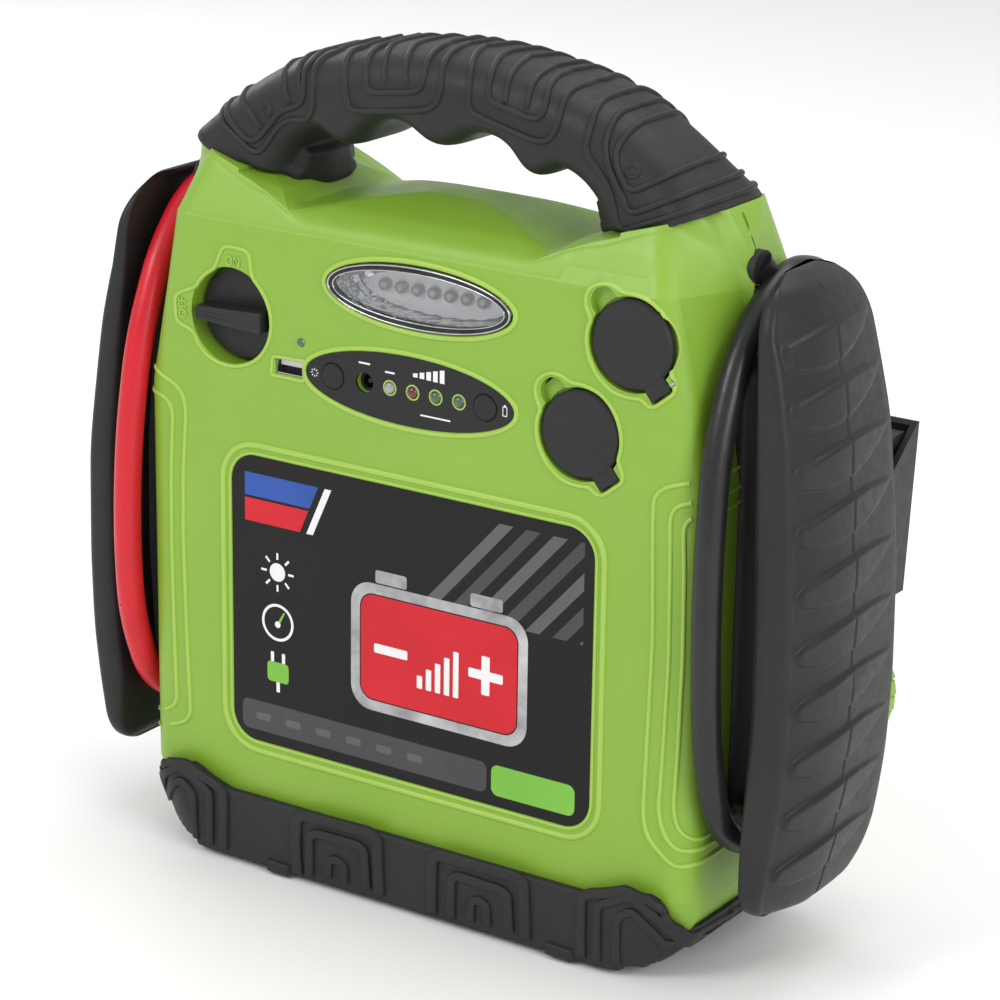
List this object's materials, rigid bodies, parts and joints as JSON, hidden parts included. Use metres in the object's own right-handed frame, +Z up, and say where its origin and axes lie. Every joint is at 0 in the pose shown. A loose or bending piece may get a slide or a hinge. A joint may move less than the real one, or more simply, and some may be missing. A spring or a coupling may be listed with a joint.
{
  "type": "jump starter pack",
  "caption": "Portable battery jump starter pack with arched carry handle, rubber bumper, side cable guards with wound leads, lamp, rotary switch, capped sockets and parked clamps.",
  "frame": {"origin": "centre of the footprint, on the surface the feet stand on", "axes": "+Z up, the control face looks towards -Y, +X to the right as seen from the front"},
  "size_m": [0.3284, 0.1295, 0.321],
  "materials": {
    "green_shell": "satin lime green moulding",
    "black_rubber": "matt",
    "black_plastic": "satin, fine grain",
    "label": "printed film",
    "clear_plastic": "clear polycarbonate",
    "chrome_plastic": "vacuum metallised",
    "white_board": "matt",
    "led": "clear epoxy",
    "gloss_black": "glossy",
    "circuit_board": "matt",
    "socket_metal": "plated",
    "battery_case": "matt",
    "lead": "dull lead",
    "steel": "zinc plated",
    "gear_plastic": "natural nylon",
    "aluminium": "die cast",
    "brass": "plain",
    "dial": "printed card",
    "needle": "red",
    "copper": "copper-clad jaw",
    "red_plastic": "satin",
    "black_lead": "smooth cable sheath",
    "red_lead": "smooth cable sheath"
  },
  "bodies": {
    "housing": {"front_shell": "green_shell", "rear_shell": "green_shell", "front_grip": "black_rubber", "rear_grip": "black_rubber", "front_bumper": "black_rubber", "rear_bumper": "black_rubber", "rubber_feet": "black_rubber", "right_guard_front": "black_plastic", "right_guard_rear": "black_plastic", "left_guard_front": "black_plastic", "left_guard_rear": "black_plastic", "housing_screws": "steel", "label_plate": "label", "lamp_lens": "clear_plastic", "lamp_reflector": "chrome_plastic", "lamp_board": "white_board", "lamp_leds": "led", "control_panel": "gloss_black", "control_board": "circuit_board", "charging_socket": "black_plastic", "indicator_lights": "led", "usb_socket": "steel", "switch_body": "black_plastic", "power_sockets": "socket_metal", "cap_pins": "steel", "battery": "battery_case", "battery_terminals": "lead", "main_fuse": "brass", "buzzer": "black_plastic", "compressor_motor": "steel", "compressor_block": "aluminium", "air_fitting": "brass", "gauge_housing": "black_plastic", "gauge_dial": "dial", "gauge_glass": "clear_plastic", "clamp_sleeves": "black_plastic", "black_clamp_base": "black_plastic", "red_clamp_base": "red_plastic", "fixed_jaws": "copper", "clamp_pins": "steel", "clamp_springs": "steel", "cable_grommets": "black_rubber", "black_cable": "black_lead", "red_cable": "red_lead"},
    "knob": {"switch_knob": "black_plastic", "switch_contact": "brass"},
    "lamp_key": {"lamp_button": "gloss_black"},
    "test_key": {"test_button": "gloss_black"},
    "upper_cover": {"upper_cap": "black_rubber"},
    "lower_cover": {"lower_cap": "black_rubber"},
    "pointer": {"gauge_needle": "needle"},
    "rocker": {"air_switch": "black_plastic"},
    "black_clamp": {"black_clamp_lever": "black_plastic", "black_moving_jaw": "copper"},
    "red_clamp": {"red_clamp_lever": "red_plastic", "red_moving_jaw": "copper"},
    "crank": {"crank_gear": "gear_plastic"},
    "pinion": {"motor_pinion": "steel"},
    "conrod": {"connecting_rod": "aluminium"},
    "plunger": {"piston": "aluminium"}
  },
  "joints": [
    {"name": "knob_turn", "type": "hinge", "parent": "housing", "child": "knob", "pos_m": [-0.0796, -0.045, 0.2165], "axis": [0, 1, 0], "range_deg": [0, 90]},
    {"name": "lamp_button_press", "type": "slide", "parent": "housing", "child": "lamp_key", "axis": [0, 1, 0], "range_m": [0, 0.001], "stiffness_N_per_m": 400},
    {"name": "test_button_press", "type": "slide", "parent": "housing", "child": "test_key", "axis": [0, 1, 0], "range_m": [0, 0.001], "stiffness_N_per_m": 400},
    {"name": "upper_cap_hinge", "type": "hinge", "parent": "housing", "child": "upper_cover", "pos_m": [0.10405, -0.0556, 0.21974], "axis": [0.788, 0, 0.6157], "range_deg": [0, 110]},
    {"name": "lower_cap_hinge", "type": "hinge", "parent": "housing", "child": "lower_cover", "pos_m": [0.08425, -0.0556, 0.18434], "axis": [0.788, 0, 0.6157], "range_deg": [0, 110]},
    {"name": "gauge_pointer", "type": "hinge", "parent": "housing", "child": "pointer", "pos_m": [0, 0.035, 0.15], "axis": [0, -1, 0], "range_deg": [0, 270], "stiffness_Nm_per_rad": 0.0004},
    {"name": "air_switch_rock", "type": "hinge", "parent": "housing", "child": "rocker", "pos_m": [0.048, 0.0314, 0.15], "axis": [-1, 0, 0], "range_deg": [0, 16]},
    {"name": "black_clamp_open", "type": "hinge", "parent": "housing", "child": "black_clamp", "pos_m": [0.118, 0.05, 0.128], "axis": [0, -1, 0], "range_deg": [0, 15], "stiffness_Nm_per_rad": 0.6, "springref_deg": -28.65, "deforming": ["clamp_springs"]},
    {"name": "red_clamp_open", "type": "hinge", "parent": "housing", "child": "red_clamp", "pos_m": [-0.118, 0.05, 0.128], "axis": [0, 1, 0], "range_deg": [0, 15], "stiffness_Nm_per_rad": 0.6, "springref_deg": -28.65, "deforming": ["clamp_springs"]},
    {"name": "crank_spin", "type": "hinge", "parent": "housing", "child": "crank", "pos_m": [-0.0436, -0.01, 0.208], "axis": [0, 1, 0], "continuous": true},
    {"name": "pinion_spin", "type": "hinge", "parent": "housing", "child": "pinion", "pos_m": [-0.07, -0.01, 0.208], "axis": [0, 1, 0], "continuous": true},
    {"name": "rod_big_end", "type": "hinge", "parent": "crank", "child": "conrod", "pos_m": [-0.0496, -0.015, 0.208], "axis": [0, 1, 0], "continuous": true},
    {"name": "piston_slide", "type": "slide", "parent": "housing", "child": "plunger", "axis": [1, 0, 0], "range_m": [0, 0.012]}
  ],
  "couplings": [
    {"joint": "pinion_spin", "follows": "crank_spin", "ratio": -5},
    {"joint": "rod_big_end", "follows": "crank_spin", "ratio": -1}
  ]
}
